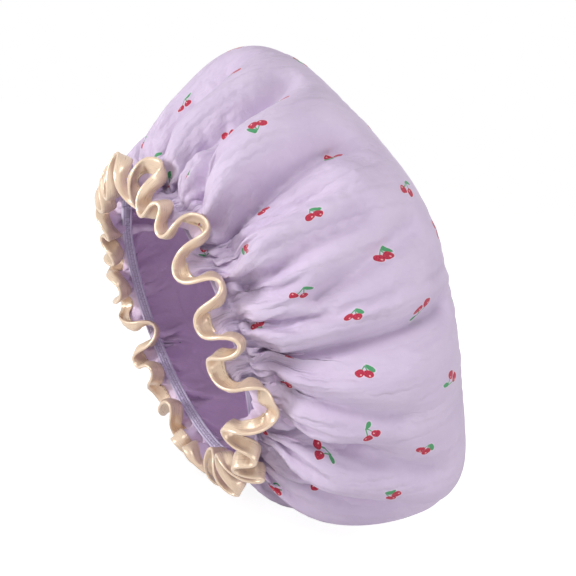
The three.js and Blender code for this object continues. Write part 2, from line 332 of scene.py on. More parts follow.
@dataclass(frozen=True)
class FruitMotif:
    """One small printed pair of fruits with its stems and leaf, in millimetres about its middle."""

    fruits: tuple[Pair, Pair]
    joint: Pair
    leaf: Pair
    leaf_turn: float
    fruit_radius: float = 2.3
    stem_half: float = 0.36
    leaf_half: Pair = (2.4, 1.1)
    shine_radius: float = 0.42
    shine_off: Pair = (-0.32, 0.36)

    def fruit(self, graph: NodeGraph, place: Socket) -> Socket:
        """Distance to the nearer fruit's edge, below 0 inside it."""
        return graph.nearer([graph.distance(place, (*at, 0.0)) for at in self.fruits], self.fruit_radius)

    def shine(self, graph: NodeGraph, place: Socket) -> Socket:
        """Distance to the nearer light spot's edge."""
        aside, over = (share * self.fruit_radius for share in self.shine_off)
        near = [graph.distance(place, (x + aside, y + over, 0.0)) for x, y in self.fruits]
        return graph.nearer(near, self.shine_radius)

    def stem(self, graph: NodeGraph, place: Socket) -> Socket:
        """Distance to the nearer stem's edge."""
        near = []
        for x, y in self.fruits:
            run = Vector((self.joint[0] - x, self.joint[1] - y, 0.0))
            off = graph.vector("SUBTRACT", place, (x, y, 0.0))
            along = graph.maths("DIVIDE", graph.vector("DOT_PRODUCT", off, tuple(run)), run.length_squared)
            along = graph.maths("MINIMUM", graph.maths("MAXIMUM", along, 0.0), 1.0)
            foot = graph.vector("SCALE", tuple(run), along)
            near.append(graph.distance(off, foot))
        return graph.nearer(near, self.stem_half)

    def leaf_edge(self, graph: NodeGraph, place: Socket) -> Socket:
        """Distance to the leaf's edge, about in millimetres."""
        turned = graph.turned(graph.vector("SUBTRACT", place, (*self.leaf, 0.0)), self.leaf_turn)
        long, short = self.leaf_half
        shaped = graph.vector("MULTIPLY", turned, (1.0 / long, 1.0 / short, 0.0))
        return graph.maths("MULTIPLY", graph.maths("SUBTRACT", graph.vector("LENGTH", shaped), 1.0), short)


@dataclass(frozen=True)
class FineCreases:
    """Uneven, sharp creases that run out from the crown and deepen towards the elastic.

    The count is for each radian. The creases rise between two radii of the flat cloth.
    """

    count: float
    rise: Pair
    depth_mm: float
    wander: float = 0.008
    sharp: float = 3.0

    def height(self, graph: NodeGraph, place: Socket) -> Socket:
        """The creases' height.

        Args:
            graph: The material's graph.
            place: The point on the flat cloth, in millimetres.

        Returns:
            The height at the point.
        """
        out = graph.vector("LENGTH", place)
        way = graph.vector("SCALE", graph.vector("NORMALIZE", place), self.count)
        lift = graph.joined(0.0, 0.0, graph.maths("MULTIPLY", out, self.wander))
        wave = graph.noise(graph.vector("ADD", way, lift), 1.0, 2.0)
        folded = graph.maths("MULTIPLY_ADD", wave, self.sharp, -0.5 * self.sharp)
        crease = graph.maths("ABSOLUTE", folded)
        return graph.maths("MULTIPLY", crease, graph.eased(out, *self.rise, 0.0, 1.0))


@dataclass(frozen=True)
class PrintedCotton:
    """Lilac cotton lawn with a scattered print of small paired fruits."""

    ground: Colour = (0.640, 0.530, 0.705)
    faded: Colour = (0.680, 0.570, 0.740)
    red: Colour = (0.560, 0.050, 0.090)
    deep_red: Colour = (0.400, 0.022, 0.055)
    pink: Colour = (0.930, 0.560, 0.570)
    green: Colour = (0.085, 0.330, 0.150)
    pale: Colour = (0.780, 0.700, 0.800)
    cell_mm: float = 40.0
    wander_mm: float = 15.0
    edge_mm: float = 0.14
    thread_mm: float = 0.34
    halo_mm: float = 0.35
    halo_ink: float = 0.6
    stem_ink: float = 0.9
    shine_ink: float = 0.85
    crinkle_mm: float = 1.4
    weave_mm: float = 0.035
    creases: tuple[FineCreases, FineCreases] = (
        FineCreases(11.0, (80.0, 200.0), 2.4),
        FineCreases(34.0, (165.0, 236.0), 0.9),
    )
    motifs: tuple[FruitMotif, FruitMotif] = (
        FruitMotif(((-2.6, -2.3), (2.4, -1.7)), (0.5, 3.9), (2.7, 4.1), -0.35),
        FruitMotif(((-2.0, 1.0), (2.1, 1.4)), (0.3, -3.0), (-2.2, -2.6), 0.55, leaf_half=(2.7, 1.3)),
    )

    def motif_place(self, graph: NodeGraph, place: Socket) -> tuple[Socket, Socket]:
        """Where a point lies on its own motif.

        Args:
            graph: The material's graph.
            place: The point on the flat cloth, in millimetres.

        Returns:
            The point about the motif's middle, and the motif's own chance value.
        """
        x, y, _ = graph.parts(place)
        row = graph.maths("FLOOR", graph.maths("DIVIDE", y, self.cell_mm))
        odd = graph.maths("FLOORED_MODULO", row, 2.0)
        shift = graph.maths("MULTIPLY_ADD", odd, 0.5 * self.cell_mm, x)
        spot = graph.vector("SCALE", graph.joined(shift, y), 1.0 / self.cell_mm)
        cell = graph.vector("FLOOR", spot)
        chance = graph.node("ShaderNodeTexWhiteNoise", noise_dimensions="3D")
        graph.feed(chance.inputs["Vector"], cell)
        inside = graph.vector("SUBTRACT", graph.vector("FRACTION", spot), (0.5, 0.5, 0.0))
        local = graph.vector("SCALE", inside, self.cell_mm)
        jump = graph.vector("SUBTRACT", chance.outputs["Color"], (0.5, 0.5, 0.5))
        local = graph.vector("SUBTRACT", local, graph.vector("SCALE", jump, self.wander_mm))
        local = graph.vector("MULTIPLY", local, (1.0, 1.0, 0.0))
        turned = graph.turned(local, graph.maths("MULTIPLY", chance.outputs["Value"], TURN))
        return turned, graph.parts(chance.outputs["Color"])[2]

    def print_over(self, graph: NodeGraph, place: Socket, ground: Socket) -> Socket:
        """The print's colours over the ground.

        Args:
            graph: The material's graph.
            place: The point on the flat cloth, in millimetres.
            ground: The cloth's own colour.

        Returns:
            The printed colour.
        """
        spot, chance = self.motif_place(graph, place)
        pick = graph.maths("GREATER_THAN", chance, 0.5)

        def chosen(name: str) -> Socket:
            """The distance of the chosen motif's named part."""
            first, second = (getattr(motif, name)(graph, spot) for motif in self.motifs)
            gap = graph.maths("SUBTRACT", second, first)
            return graph.maths("MULTIPLY_ADD", gap, pick, first)

        def inked(distance: Socket, grow: float = 0.0) -> Socket:
            """How much ink lies at a distance from an edge."""
            return graph.eased(distance, grow - self.edge_mm, grow + self.edge_mm, 1.0, 0.0)

        fruit, stem, leaf = chosen("fruit"), chosen("stem"), chosen("leaf_edge")
        nearest = graph.maths("MINIMUM", fruit, graph.maths("MINIMUM", stem, leaf))
        blot = graph.noise(place, 1.4, 2.0)
        red = graph.patchy(blot, 0.35, 0.7, self.red, self.deep_red)
        halo = graph.maths("MULTIPLY", inked(nearest, self.halo_mm), self.halo_ink)
        colour = graph.mixed(halo, ground, self.pale)
        colour = graph.mixed(graph.maths("MULTIPLY", inked(stem), self.stem_ink), colour, self.green)
        colour = graph.mixed(inked(leaf), colour, self.green)
        colour = graph.mixed(inked(fruit), colour, red)
        return graph.mixed(graph.maths("MULTIPLY", inked(chosen("shine")), self.shine_ink), colour, self.pink)

    def material(self) -> Material:
        """The cotton's material."""
        graph = NodeGraph("printed_cotton")
        place = graph.place("flat")
        x, y, _ = graph.parts(place)
        worn = graph.noise(place, 0.035, 3.0)
        ground = graph.patchy(worn, 0.35, 0.65, self.ground, self.faded)
        slub = graph.drawn_out(place, (0.22, 2.4))
        warp, weft = graph.ripple(x, self.thread_mm), graph.ripple(y, self.thread_mm)
        weave = graph.maths("MULTIPLY_ADD", graph.maths("MULTIPLY", warp, weft), 0.5, slub)
        normal = graph.raised(graph.noise(place, 0.085, 4.0, 0.55), self.crinkle_mm)
        for layer in self.creases:
            normal = graph.raised(layer.height(graph, place), layer.depth_mm, normal)
        normal = graph.raised(weave, self.weave_mm, normal)
        colour = self.print_over(graph, place, ground)
        return graph.settle(
            colour, normal, Roughness=0.86, Specular_IOR_Level=0.22,
            Sheen_Weight=0.22, Sheen_Roughness=0.45, Sheen_Tint=(0.92, 0.86, 0.97),
        )


@dataclass(frozen=True)
class LiningFilm:
    """Soft lilac waterproof film with a faint sheen and fine creases."""

    ground: Colour = (0.800, 0.640, 0.850)
    pale: Colour = (0.830, 0.680, 0.870)
    soft_mm: float = 1.4
    crease_mm: float = 0.15

    def material(self) -> Material:
        """The film's material."""
        graph = NodeGraph("lining_film")
        place = graph.place("flat")
        colour = graph.patchy(graph.noise(place, 0.03, 3.0), 0.35, 0.65, self.ground, self.pale)
        soft = graph.noise(place, 0.06, 4.0, 0.6)
        creased = graph.drawn_out(place, (0.5, 0.16))
        normal = graph.raised(creased, self.crease_mm, graph.raised(soft, self.soft_mm))
        return graph.settle(colour, normal, Roughness=0.52, Specular_IOR_Level=0.35, Sheen_Weight=0.1)


@dataclass(frozen=True)
class RibbedElastic:
    """Pale lilac knitted elastic, ribbed along its length, with painted shade in the furrows between its
    ribs.
    """

    ground: Colour = (0.740, 0.670, 0.860)
    # The darker lilac is painted shade for the furrows between the ribs, not a second yarn.
    groove_shade: Colour = (0.560, 0.480, 0.700)
    stitch_mm: float = 0.62
    rib_mm: float = 1.5
    groove_shade_share: float = 0.7
    knit_mm: float = 0.08

    def material(self) -> Material:
        """The elastic's material."""
        graph = NodeGraph("ribbed_elastic")
        place = graph.place("band")
        along, across, _ = graph.parts(place)
        knit = graph.ripple(along, self.stitch_mm)
        rib = graph.maths("COSINE", graph.maths("MULTIPLY", across, TURN / self.rib_mm))
        # Painted shade: the colour darkens towards each furrow between the ribs.
        groove_shade = graph.eased(rib, -1.0, 0.2, 1.0, 0.0)
        colour = graph.mixed(graph.maths("MULTIPLY", groove_shade, self.groove_shade_share), self.ground, self.groove_shade)
        height = graph.maths("MULTIPLY_ADD", knit, 0.5, graph.noise(place, 2.2, 3.0))
        return graph.settle(colour, graph.raised(height, self.knit_mm), Roughness=0.78, Sheen_Weight=0.2)


@dataclass(frozen=True)
class ChampagneSatin:
    """Champagne satin tape: smooth floats along its length, glossy on its folds."""

    ground: Colour = (0.750, 0.575, 0.425)
    bright: Colour = (0.800, 0.625, 0.470)
    float_mm: float = 0.22
    float_depth_mm: float = 0.003
    pucker_mm: float = 0.4
    roughness: Pair = (0.27, 0.33)

    def material(self) -> Material:
        """The satin's material."""
        graph = NodeGraph("satin_tape")
        place = graph.place("tape")
        _, across, _ = graph.parts(place)
        streak = graph.drawn_out(place, (0.12, 2.6), 3.0)
        colour = graph.patchy(streak, 0.3, 0.7, self.ground, self.bright)
        floats = graph.ripple(across, self.float_mm)
        pucker = graph.raised(graph.drawn_out(place, (0.30, 0.12)), self.pucker_mm)
        normal = graph.raised(floats, self.float_depth_mm, pucker)
        rough = graph.eased(streak, 0.3, 0.7, *self.roughness)
        return graph.settle(
            colour, normal, Roughness=rough, Metallic=0.30, Specular_IOR_Level=0.70,
            Sheen_Weight=0.20, Sheen_Roughness=0.3, Sheen_Tint=(1.0, 0.93, 0.84),
        )


@dataclass(frozen=True)
class SewingThread:
    """Twisted polyester thread, with painted shade in the grooves between its plies."""

    tone: ThreadTone
    twist_mm: float = 0.55
    ply_mm: float = 0.06
    # How dark the painted shade in the twist's grooves is, as a share of the thread's colour.
    twist_shade_share: float = 0.72

    def material(self) -> Material:
        """The thread's material."""
        graph = NodeGraph(f"sewing_thread_{self.tone.name.lower()}")
        along, around, _ = graph.parts(graph.place("strand"))
        ply = graph.maths("SINE", graph.maths("MULTIPLY_ADD", along, TURN / self.twist_mm, around))
        # Painted shade: a darker copy of the thread's colour, laid into the grooves of the twist.
        twist_shade = tuple(self.twist_shade_share * part for part in self.tone.value)
        colour = graph.mixed(graph.eased(ply, -1.0, 0.3, 0.8, 0.0), self.tone.value, twist_shade)
        return graph.settle(colour, graph.raised(ply, self.ply_mm), Roughness=0.55, Sheen_Weight=0.15)


@dataclass(frozen=True)
class CapFrame:
    """Where the cap's own frame lies in the row frame."""

    centre: Triple
    tilt: float

    @classmethod
    def from_elastic(cls, node: str) -> "CapFrame":
        """Reads the frame from the elastic's ring.

        Args:
            node: The elastic's node.

        Returns:
            The frame at the middle of the ring.
        """
        low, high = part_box(node)
        middle = (low + high) / (2.0 * MM)
        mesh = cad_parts[node].data
        places = np.empty(3 * len(mesh.vertices))
        mesh.vertices.foreach_get("co", places)
        places = places.reshape(-1, 3)
        axis = np.linalg.svd(places - places.mean(0), full_matrices=False)[2][2]
        return cls(tuple(middle), math.atan2(abs(axis[2]), abs(axis[0])))

    @property
    def up(self) -> Array:
        """The way up from the floor, in the cap's own frame."""
        return np.array([-math.cos(self.tilt), 0.0, math.sin(self.tilt)])

    @property
    def lift(self) -> float:
        """How high the middle of the elastic lies."""
        return self.centre[2]

    def laid(self, points: Array) -> Array:
        """Points of the cap's own frame, laid in the row frame in metres."""
        x, y, w = points.T
        sine, cosine = math.sin(self.tilt), math.cos(self.tilt)
        rows = np.stack([x * sine + w * cosine, y, w * sine - x * cosine], 1)
        return (rows + np.array(self.centre)) * MM


@dataclass
class FlatRound:
    """A flat round of cloth in rings of near-equal triangles."""

    radius: float
    rings: int
    step: float = field(init=False)
    starts: list[int] = field(init=False)
    ring: Array = field(init=False)
    angle: Array = field(init=False)
    points: Array = field(init=False)
    triangles: Array = field(init=False)
    edges: Array = field(init=False)
    bends: Array = field(init=False)

    def __post_init__(self) -> None:
        """Lays out the points, triangles, edges and the pairs across each edge."""
        self.step = self.radius / self.rings
        self.starts = [0] + [1 + 3 * i * (i - 1) for i in range(1, self.rings + 1)]
        ring, angle = [0], [0.0]
        for i in range(1, self.rings + 1):
            ring += [i] * (6 * i)
            angle += [TURN * (k + 0.5 * (i % 2)) / (6 * i) for k in range(6 * i)]
        self.ring, self.angle = np.array(ring), np.array(angle)
        reach = self.ring * self.step
        self.points = np.stack([reach * np.cos(self.angle), reach * np.sin(self.angle)], 1)
        triangles = [(0, 1 + k, 1 + (k + 1) % 6) for k in range(6)]
        for i in range(2, self.rings + 1):
            triangles += self.between(i - 1, i)
        self.triangles = np.array(triangles)
        across: dict[tuple[int, int], list[int]] = {}
        for a, b, c in triangles:
            for u, v, other in ((a, b, c), (b, c, a), (c, a, b)):
                across.setdefault((min(u, v), max(u, v)), []).append(other)
        self.edges = np.array(list(across))
        self.bends = np.array([pair for pair in across.values() if len(pair) == 2])

    def between(self, inner: int, outer: int) -> list[tuple[int, int, int]]:
        """Triangles between two neighbouring rings.

        Args:
            inner: The inner ring.
            outer: The outer ring.

        Returns:
            The triangles, facing up.
        """
        first, first_count = self.starts[inner], 6 * inner
        last, last_count = self.starts[outer], 6 * outer
        made = []
        a = b = 0
        while a < first_count or b < last_count:
            inner_next = a < first_count and (a + 0.5) * last_count <= (b + 0.5) * first_count
            here, there = first + a % first_count, last + b % last_count
            if b >= last_count or inner_next:
                a += 1
                made.append((here, there, first + a % first_count))
            else:
                b += 1
                made.append((here, there, last + b % last_count))
        return made

    def ring_points(self, ring: int) -> Array:
        """The points of one ring."""
        return np.arange(self.starts[ring], self.starts[ring] + max(1, 6 * ring))


@dataclass(frozen=True)
class LimpRun:
    """A run along the dome where the limp cloth stands out in a soft ridge, or has sunk in a crease.

    Each end is an angle round the cap and a share of the way from the crown to the elastic. The push is
    below 0 for a crease, and fades over the reach to each side, flatter at first where the edge is higher.
    At the last end, the kept share of the push is left. It is set at a number of stops along the run.
    """

    first: Pair
    last: Pair
    reach: float
    push: float
    kept: float = 0.45
    edge: float = 1.25
    stops: int = 60

    def path(self) -> list[Triple]:
        """Stops along the run: the angle, the share of the way and the push there."""
        made = []
        for k in range(self.stops):
            t = k / (self.stops - 1)
            angle, share = ((1 - t) * a + t * b for a, b in zip(self.first, self.last))
            made.append((angle, share, self.push * (1 - t * (1 - self.kept))))
        return made


@dataclass(frozen=True)
class RimTurn:
    """A stretch of the ruffle that leans out, or in below 0, about an angle round the cap."""

    middle: float
    spread: float
    lean: float


@dataclass
class GatheredCloth:
    """The round of cloth as the elastic gathers it, relaxed until it hangs in its own folds."""

    lie: CapFrame
    # The mean dome, and how far it has sunk towards the floor.
    cap_radius: float = 130.0
    crown_height: float = 120.5
    widest_height: float = 64.0
    crown_square: float = 2.3
    under_square: float = 1.7
    seat_radius: float = 82.35
    ruffle: float = 19.5
    slump: float = 7.0
    # The gathers, by stages from 0 at the crown to 2 at the elastic, and the fine pleats at the seam.
    folds: int = 16
    fold_depth: float = 15.0
    fold_start: float = 0.55
    held_from: float = 1.7
    fine_pleats: int = 84
    fine_depth: float = 1.5
    crown_fullness: float = 1.04
    slack: float = 0.04
    # The rings of the flat round, the passes of the relaxing, and how much each step of a pass does.
    rings: int = 74
    passes: int = 900
    quick_rings: int = 48
    quick_passes: int = 300
    flat_rings: int = 4
    overshoot: float = 2.4
    swell_every: int = 3
    swell_first: float = 0.012
    swell_last: float = 0.002
    sag: float = 0.003
    bend_share: float = 0.30
    bend_limit: float = 0.78
    floor_every: int = 10
    floor_gap: float = 0.6
    # The ruffle: its loops, its stiff bound edge and the stretches that lean.
    rim_loops: int = 20
    rim_uneven: float = 1.15
    rim_swing: float = 1.0
    rim_overhang: float = 0.22
    rim_flare: float = 0.2
    rim_fullness: float = 0.85
    rim_bend_radius: float = 5.5
    rim_bend_limit: float = math.pi / 2 + 0.4
    rim_spans: tuple[tuple[int, ...], ...] = ((3, 5, 7), (4, 6), (4,))
    rim_every: int = 2
    rim_share: float = 0.8
    rim_passes: int = 4
    rim_floor_gap: float = 1.8
    rim_turns: tuple[RimTurn, ...] = (
        RimTurn(4.20, 0.75, 0.28),
        RimTurn(4.62, 0.42, 0.38),
        RimTurn(3.42, 0.14, 0.50),
        RimTurn(1.26, 0.16, -1.70),
        RimTurn(5.38, 0.16, 0.70),
    )
    # The limp dome: the middle that its points move from or towards, and broad pushes, ridges and creases.
    dome_middle: Triple = (7.0, 0.0, 50.0)
    limp_until: float = 1.75
    limp_runs: tuple[LimpRun, ...] = (
        LimpRun((2.92, 0.81), (2.92, 0.79), 42.0, -13.0, 1.0, 2.0, 2),
        LimpRun((3.02, 0.59), (3.02, 0.57), 40.0, 11.0, 1.0, 2.0, 2),
        LimpRun((5.42, 0.58), (5.42, 0.56), 34.0, 12.0, 1.0, 2.0, 2),
        LimpRun((4.16, 0.46), (4.16, 0.44), 36.0, 4.0, 1.0, 2.0, 2),
        LimpRun((3.77, 0.86), (3.64, 0.62), 13.0, 5.0, 0.6, 2.0),
        LimpRun((3.95, 0.88), (3.92, 0.66), 10.0, 4.0, 0.6, 2.0),
        LimpRun((4.13, 0.88), (4.08, 0.64), 11.0, 5.0, 0.6, 2.0),
        LimpRun((4.48, 0.88), (4.46, 0.60), 13.0, 6.0, 0.6, 2.0),
        LimpRun((4.69, 0.88), (4.73, 0.66), 10.0, 4.0, 0.6, 2.0),
        LimpRun((3.68, 0.93), (3.42, 0.62), 6.3, -19.0, 0.50),
        LimpRun((3.88, 0.93), (3.83, 0.60), 7.0, -23.0, 0.60),
        LimpRun((4.04, 0.92), (4.00, 0.70), 5.6, -16.0, 0.40),
        LimpRun((4.25, 0.93), (4.15, 0.66), 6.3, -20.0, 0.50),
        LimpRun((4.36, 0.80), (4.24, 0.56), 6.3, -11.0, 0.75),
        LimpRun((4.60, 0.94), (4.58, 0.52), 6.3, -23.0, 0.55),
        LimpRun((4.77, 0.93), (4.92, 0.68), 6.3, -18.0, 0.45),
        LimpRun((4.99, 0.93), (5.24, 0.62), 6.3, -15.0, 0.55),
        LimpRun((5.32, 0.94), (5.45, 0.66), 6.3, -10.0, 0.45),
        LimpRun((5.85, 0.93), (5.94, 0.64), 6.3, -13.0, 0.50),
        LimpRun((0.22, 0.93), (0.14, 0.58), 7.0, -15.0, 0.50),
        LimpRun((0.62, 0.92), (0.72, 0.68), 5.6, -11.0, 0.40),
        LimpRun((1.10, 0.93), (1.00, 0.57), 7.0, -15.0, 0.50),
        LimpRun((1.58, 0.92), (1.68, 0.65), 6.3, -12.0, 0.45),
        LimpRun((2.02, 0.93), (1.93, 0.61), 7.0, -14.0, 0.50),
        LimpRun((2.48, 0.92), (2.58, 0.67), 5.6, -11.0, 0.40),
        LimpRun((3.26, 0.92), (3.12, 0.68), 6.3, -11.0, 0.45),
    )
    # What is found from these.
    meridian: float = field(init=False)
    cloth: FlatRound = field(init=False)
    reach: Array = field(init=False)
    stage: Array = field(init=False)
    mean_radius: Array = field(init=False)
    mean_height: Array = field(init=False)
    beyond: Array = field(init=False)
    seat_ring: int = field(init=False)
    sewn: Array = field(init=False)
    shape: Array = field(init=False)

    def __post_init__(self) -> None:
        """Lays the flat round, finds each point's place on the mean profile and relaxes the cloth."""
        stage = np.linspace(0.0, SEAT_STAGE, PROFILE_STOPS)
        radius, height = self.profile(stage)
        run = np.concatenate([[0.0], np.cumsum(np.hypot(np.diff(radius), np.diff(height)))])
        self.meridian = float(run[-1])
        self.cloth = FlatRound(self.meridian + self.ruffle, self.rings)
        self.reach = self.cloth.ring * self.cloth.step
        self.stage = np.interp(self.reach, run, stage)
        self.mean_radius = np.interp(self.reach, run, radius)
        self.mean_height = np.interp(self.reach, run, height)
        self.beyond = np.maximum(self.reach - self.meridian, 0.0)
        self.seat_ring = int(round(self.meridian / self.cloth.step))
        self.sewn = (self.cloth.ring == self.seat_ring) | (self.cloth.ring == self.seat_ring + 1)
        self.shape = self.relaxed()

    def profile(self, stage: Array) -> tuple[Array, Array]:
        """The dome's mean profile.

        Args:
            stage: 0 at the crown, 1 at the widest ring, 2 at the elastic.

        Returns:
            The radius and the height above the elastic.
        """
        crown = np.clip(stage, 0.0, 1.0) * math.pi / 2
        under = np.clip(stage - 1.0, 0.0, 1.0) * math.pi / 2
        crown_power, under_power = 2 / self.crown_square, 2 / self.under_square
        over = np.clip(np.cos(crown), 0.0, 1.0) ** crown_power
        turn = np.clip(np.cos(under), 0.0, 1.0) ** under_power
        radius = np.where(
            stage <= 1.0,
            self.cap_radius * np.sin(crown) ** crown_power,
            self.seat_radius + (self.cap_radius - self.seat_radius) * turn,
        )
        height = np.where(
            stage <= 1.0,
            self.widest_height + (self.crown_height - self.widest_height) * over,
            self.widest_height * (1.0 - np.sin(under) ** under_power),
        )
        return radius, height

    def fading(self, start: float) -> Array:
        """1 on the dome, falling to 0 at the elastic from a stage on."""
        return 1 - smooth_between(self.stage, start, SEAT_STAGE)

    def fine_wave(self, angle: Array) -> Array:
        """How far the fine pleats under the stitches stand off the seat's radius."""
        phase = self.fine_pleats * angle + 2.5 * np.sin(5 * angle) + 1.5 * np.sin(11 * angle)
        return self.fine_depth * np.sin(phase)

    @staticmethod
    def fold_place(angle: Array, folds: int, chance: float) -> tuple[Array, Array, Array]:
        """Where an angle lies between two valleys of the gathers.

        Args:
            angle: Angles round the cap.
            folds: How many folds go round.
            chance: How unevenly they are set.

        Returns:
            The share of the way from one valley to the next, the fold's width and its depth.
        """
        k = np.arange(folds)
        uneven = 0.24 * np.sin(2.4 * k + 0.7) + 0.16 * np.sin(5.1 * k + 1.9)
        valley = (k + chance * uneven) * TURN / folds
        depth = 0.75 + 0.45 * np.sin(3.7 * k + 0.4)
        ends = np.append(valley, valley[0] + TURN)
        turn = np.mod(angle - valley[0], TURN) + valley[0]
        at = np.clip(np.searchsorted(ends, turn, side="right") - 1, 0, folds - 1)
        gap = ends[at + 1] - ends[at]
        share = (turn - ends[at]) / gap
        deep = depth[at] * (1 - share) + depth[(at + 1) % folds] * share
        return share, gap * folds / TURN, deep

    def start(self) -> Array:
        """The cloth before it relaxes: the mean dome with its folds, and the ruffle in waves."""
        angle = self.cloth.angle
        share, width, deep = self.fold_place(angle, self.folds, 1.0)
        loop, _, strong = self.fold_place(angle, self.rim_loops, self.rim_uneven)
        ridge = (1.6 * np.sin(math.pi * share) - 0.9) * width * (0.5 + 0.5 * deep)
        wave = np.sin(TURN * loop - math.pi / 2)
        far = 0.9 + 0.35 * np.sin(3 * angle + 1.0) * np.sin(7 * angle)
        loose = smooth_between(self.stage, self.fold_start * far, 1.5) * self.fading(self.held_from)
        slope = 0.30 + 0.30 * np.sin(5 * angle + 1.1) + self.rim_swing * (0.65 + 0.45 * strong) * wave
        for bent in self.rim_turns:
            slope += bent.lean * np.exp(-(((angle - bent.middle) / bent.spread) ** 2))
        chance = np.random.default_rng(11).normal(0.0, 0.3, len(angle))
        radius = self.mean_radius + self.fold_depth * loose * ridge + self.beyond * np.sin(slope)
        radius = radius + chance * smooth_between(self.stage, 0.9, 1.4)
        height = self.mean_height - self.beyond * np.cos(slope)
        over = angle + self.beyond * self.rim_overhang * np.sin(2 * TURN * loop) / self.seat_radius
        points = polar(radius, over, height)
        points[:, 0] += self.slump * self.fading(1.0)
        half = np.where(self.cloth.ring == self.seat_ring, 0.5, -0.5) * self.cloth.step
        seat = self.seat_radius + self.fine_wave(angle)
        band = polar(seat, angle + 0.012 * np.sin(13 * angle), half)
        return np.where(self.sewn[:, None], band, points)

    def rest_lengths(self, i: Array, j: Array) -> Array:
        """How far apart two points of the cloth lie when it is slack.

        Args:
            i: The first point of each pair.
            j: The second point of each pair.

        Returns:
            The lengths.
        """
        angle, ring = self.cloth.angle, self.cloth.ring
        mean = self.mean_radius + self.rim_flare * self.beyond
        full = np.where(self.reach > 0, self.reach / np.maximum(mean, 1e-6), 1.0)
        full *= 1 - (1 - self.rim_fullness) * smooth_between(self.beyond, 0.0, self.ruffle)
        full = self.crown_fullness + (full - self.crown_fullness) * smooth_between(self.stage, 0.9, 1.85)
        full *= 1 + self.slack * np.sin(4 * angle + 3 * self.stage) * smooth_between(self.stage, 0.2, 0.8)
        broad = np.sin(9 * angle - 5 * self.stage + 1) * smooth_between(self.stage, 0.3, 0.8)
        around = mean * full * (1 + 0.6 * self.slack * broad)
        along = (ring[i] - ring[j]) * self.cloth.step
        turn = np.angle(np.exp(1j * (angle[i] - angle[j])))
        length = np.hypot(along, 0.5 * (around[i] + around[j]) * turn)
        flat = np.linalg.norm(self.cloth.points[i] - self.cloth.points[j], axis=1)
        return np.where(np.maximum(ring[i], ring[j]) < self.flat_rings, flat, length)

    def rim_chords(self) -> Array:
        """Pairs of points along the bound rim, with the least gap that the stiff tape leaves between them."""
        step = TURN * self.cloth.radius * self.rim_fullness / (6 * self.rings)
        made = []
        for inner, spans in enumerate(self.rim_spans):
            at = self.cloth.ring_points(self.rings - inner)
            for span in spans:
                half = min(span * step / (2 * self.rim_bend_radius), self.rim_bend_limit)
                chord = 2 * self.rim_bend_radius * math.sin(half)
                made.append(np.stack([at, np.roll(at, -span), np.full(len(at), chord)], 1))
        return np.concatenate(made)

    def normals(self, points: Array) -> Array:
        """The outward way at each point.

        Args:
            points: The cloth's points.

        Returns:
            Unit vectors.
        """
        a, b, c = (points[self.cloth.triangles[:, k]] for k in range(3))
        facets = np.repeat(np.cross(b - a, c - a), 3, axis=0)
        corners = self.cloth.triangles.ravel()
        return unit(self.gathered_sum(corners, facets, len(points)))

    @staticmethod
    def gathered_sum(at: Array, moves: Array, count: int) -> Array:
        """The moves added up at each point that they belong to."""
        return np.stack([np.bincount(at, moves[:, k], count) for k in range(3)], 1)

    def relaxed(self) -> Array:
        """Relaxes stretch, bending, the bound rim and the floor, with a little swelling from inside.

        Returns:
            The cloth's points at rest.
        """
        points = self.start()
        count = len(points)
        i, j = self.cloth.edges.T
        p, q = self.cloth.bends.T
        rest = self.rest_lengths(i, j)
        least = self.rest_lengths(p, q) * self.bend_limit
        chords = self.rim_chords()
        u, v, chord = chords[:, 0].astype(int), chords[:, 1].astype(int), chords[:, 2]
        free = (~self.sewn).astype(float)[:, None]
        swell = self.fading(self.held_from)[:, None] * free
        stand = np.where(self.stage >= SEAT_STAGE, self.rim_floor_gap, self.floor_gap)
        cloth_ends, rim_ends = np.concatenate([i, j, p, q]), np.concatenate([u, v])
        for step in range(self.passes):
            if step % self.swell_every == 0:
                push = self.swell_first * (1 - step / self.passes) + self.swell_last
                points = points + swell * self.normals(points) * push - free * self.sag * self.lie.up
            pull, _ = self.pull(points, i, j, rest, False)
            open_up, bent = self.pull(points, p, q, least, True)
            open_up *= self.bend_share
            moves = np.concatenate([pull, -pull, open_up, -open_up])
            share = np.concatenate([np.ones(2 * len(i)), bent, bent])
            shared = np.maximum(np.bincount(cloth_ends, share, count), 1.0)[:, None]
            moved = free * self.overshoot * self.gathered_sum(cloth_ends, moves, count)
            points = points + moved / shared
            if step % self.rim_every == 0:
                widen, tight = self.pull(points, u, v, chord, True)
                moves = self.rim_share * np.concatenate([widen, -widen])
                shared = np.maximum(np.bincount(rim_ends, np.tile(tight, 2), count), 1.0)[:, None]
                points = points + free * self.gathered_sum(rim_ends, moves, count) / shared
            if step % self.floor_every == 0:
                under = np.minimum(points @ self.lie.up + self.lie.lift - stand, 0.0)
                points = points - under[:, None] * self.lie.up
        return self.eased_rim(self.slumped(points))

    def slumped(self, points: Array) -> Array:
        """Lets the dome stand out and sink along its limp runs, with the sewn ring left where it is.

        Args:
            points: The cloth's points.

        Returns:
            The moved points, none of them under the floor.
        """
        out = unit(points - np.array(self.dome_middle))
        dome = self.fading(self.limp_until)
        moved = points.copy()
        for run in self.limp_runs:
            shift = np.zeros(len(points))
            for angle, share, push in run.path():
                stop = self.along_ring(points, round(share * self.seat_ring), np.array([angle]))
                near = push * np.exp(-((np.linalg.norm(points - stop, axis=1) / run.reach) ** run.edge))
                shift = np.where(np.abs(near) > np.abs(shift), near, shift)
            moved += (shift * dome)[:, None] * out
        under = np.minimum(moved @ self.lie.up + self.lie.lift - self.floor_gap, 0.0)
        return moved - under[:, None] * self.lie.up

    def eased_rim(self, points: Array) -> Array:
        """Eases the ruffle's small kinks, most at its stiff bound edge.

        Args:
            points: The cloth's points.

        Returns:
            The eased points.
        """
        first = self.seat_ring + 1
        for ring in range(first + 1, self.rings + 1):
            at = self.cloth.ring_points(ring)
            passes = round(self.rim_passes * (ring - first) / (self.rings - first))
            points[at] = eased_loop(points[at], passes)
        return points

